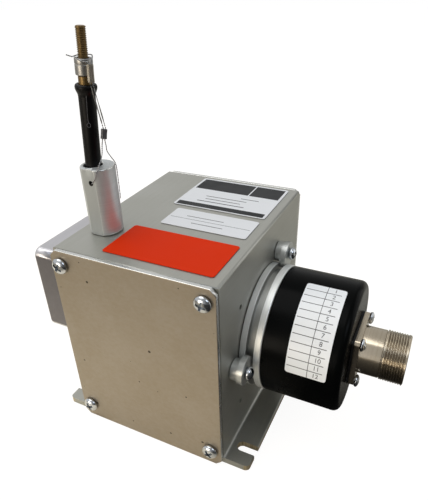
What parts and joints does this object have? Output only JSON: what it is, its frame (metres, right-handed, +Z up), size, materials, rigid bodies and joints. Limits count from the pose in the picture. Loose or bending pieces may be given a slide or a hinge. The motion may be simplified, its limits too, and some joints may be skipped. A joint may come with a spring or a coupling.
{
  "type": "draw-wire position sensor",
  "caption": "Draw-wire sensor: a spring drum in an extruded housing, with a round encoder, a plug connector and an upright wire outlet with a threaded wire end.",
  "frame": {"origin": "centre of the housing's flat underside", "axes": "+X along the encoder towards its connector, -Y out of the front cover, +Z up along the wire as it is drawn"},
  "size_m": [0.1512, 0.1026, 0.1733],
  "materials": {
    "anodised_aluminium": "satin anodised",
    "turned_aluminium": "fine turned",
    "zinc_plated_steel": "bright plated",
    "dark_grey_paint": "matte",
    "black_powder_coat": "satin",
    "nickel_plated_brass": "nickel plated",
    "aged_brass": "worn plating",
    "black_rubber": "matte",
    "black_contact_plastic": "moulded",
    "white_guide_plastic": "turned",
    "stainless_wire": "drawn",
    "spring_steel": "blued",
    "bearing_steel": "ground",
    "red_label_foil": "satin foil",
    "silver_label_foil": "satin foil",
    "code_disc_glass": "clear",
    "circuit_board": "matte"
  },
  "bodies": {
    "housing": {"housing_body": "anodised_aluminium", "front_cover": "anodised_aluminium", "front_cover_screw_1": "zinc_plated_steel", "front_cover_screw_2": "zinc_plated_steel", "front_cover_screw_3": "zinc_plated_steel", "front_cover_screw_4": "zinc_plated_steel", "rear_cover": "anodised_aluminium", "rear_cover_screw_1": "zinc_plated_steel", "rear_cover_screw_2": "zinc_plated_steel", "rear_cover_screw_3": "zinc_plated_steel", "rear_cover_screw_4": "zinc_plated_steel", "side_housing": "dark_grey_paint", "red_label": "red_label_foil", "small_label": "silver_label_foil", "large_label": "silver_label_foil", "pin_table_label": "silver_label_foil", "wire_outlet": "turned_aluminium", "outlet_bush": "white_guide_plastic", "bearing_carrier": "turned_aluminium", "spring_case_lid": "dark_grey_paint", "power_spring": "spring_steel", "drum_bearing_1_outer_ring": "bearing_steel", "drum_bearing_1_ball_cage": "bearing_steel", "drum_bearing_2_outer_ring": "bearing_steel", "drum_bearing_2_ball_cage": "bearing_steel", "encoder_flange": "turned_aluminium", "encoder_bearing_1": "bearing_steel", "encoder_bearing_2": "bearing_steel", "encoder_circuit_board": "circuit_board", "encoder_cover": "black_powder_coat", "synchro_clamp_1": "turned_aluminium", "synchro_clamp_2": "turned_aluminium", "synchro_clamp_3": "turned_aluminium", "clamp_screw_1": "zinc_plated_steel", "clamp_screw_2": "zinc_plated_steel", "clamp_screw_3": "zinc_plated_steel", "connector_gasket": "black_rubber", "connector_shell": "nickel_plated_brass", "connector_insert": "black_contact_plastic", "connector_screw_1": "zinc_plated_steel", "connector_screw_2": "zinc_plated_steel", "connector_screw_3": "zinc_plated_steel", "connector_screw_4": "zinc_plated_steel", "measuring_wire": "stainless_wire"},
    "drum": {"cable_drum": "turned_aluminium", "wire_winding": "stainless_wire", "drum_shaft": "bearing_steel", "drum_bearing_1_inner_ring": "bearing_steel", "drum_bearing_2_inner_ring": "bearing_steel", "shaft_coupling": "turned_aluminium", "encoder_shaft": "bearing_steel", "code_disc": "code_disc_glass"},
    "wire_end": {"rubber_sleeve": "black_rubber", "threaded_stud": "aged_brass", "clamp_ring": "zinc_plated_steel", "lashing_wire": "stainless_wire", "crimp_upper": "stainless_wire", "crimp_lower": "stainless_wire"}
  },
  "joints": [
    {"name": "drum_turn", "type": "hinge", "parent": "housing", "child": "drum", "pos_m": [-0.0281, -0.0008, 0.0466], "axis": [-1, 0, 0], "range_deg": [0, 2400]},
    {"name": "wire_draw", "type": "slide", "parent": "housing", "child": "wire_end", "axis": [0, 0, 1], "range_m": [0, 1], "deforming": ["measuring_wire"]}
  ],
  "couplings": [
    {"joint": "wire_draw", "follows": "drum_turn", "m_per_rad": 0.023873}
  ]
}
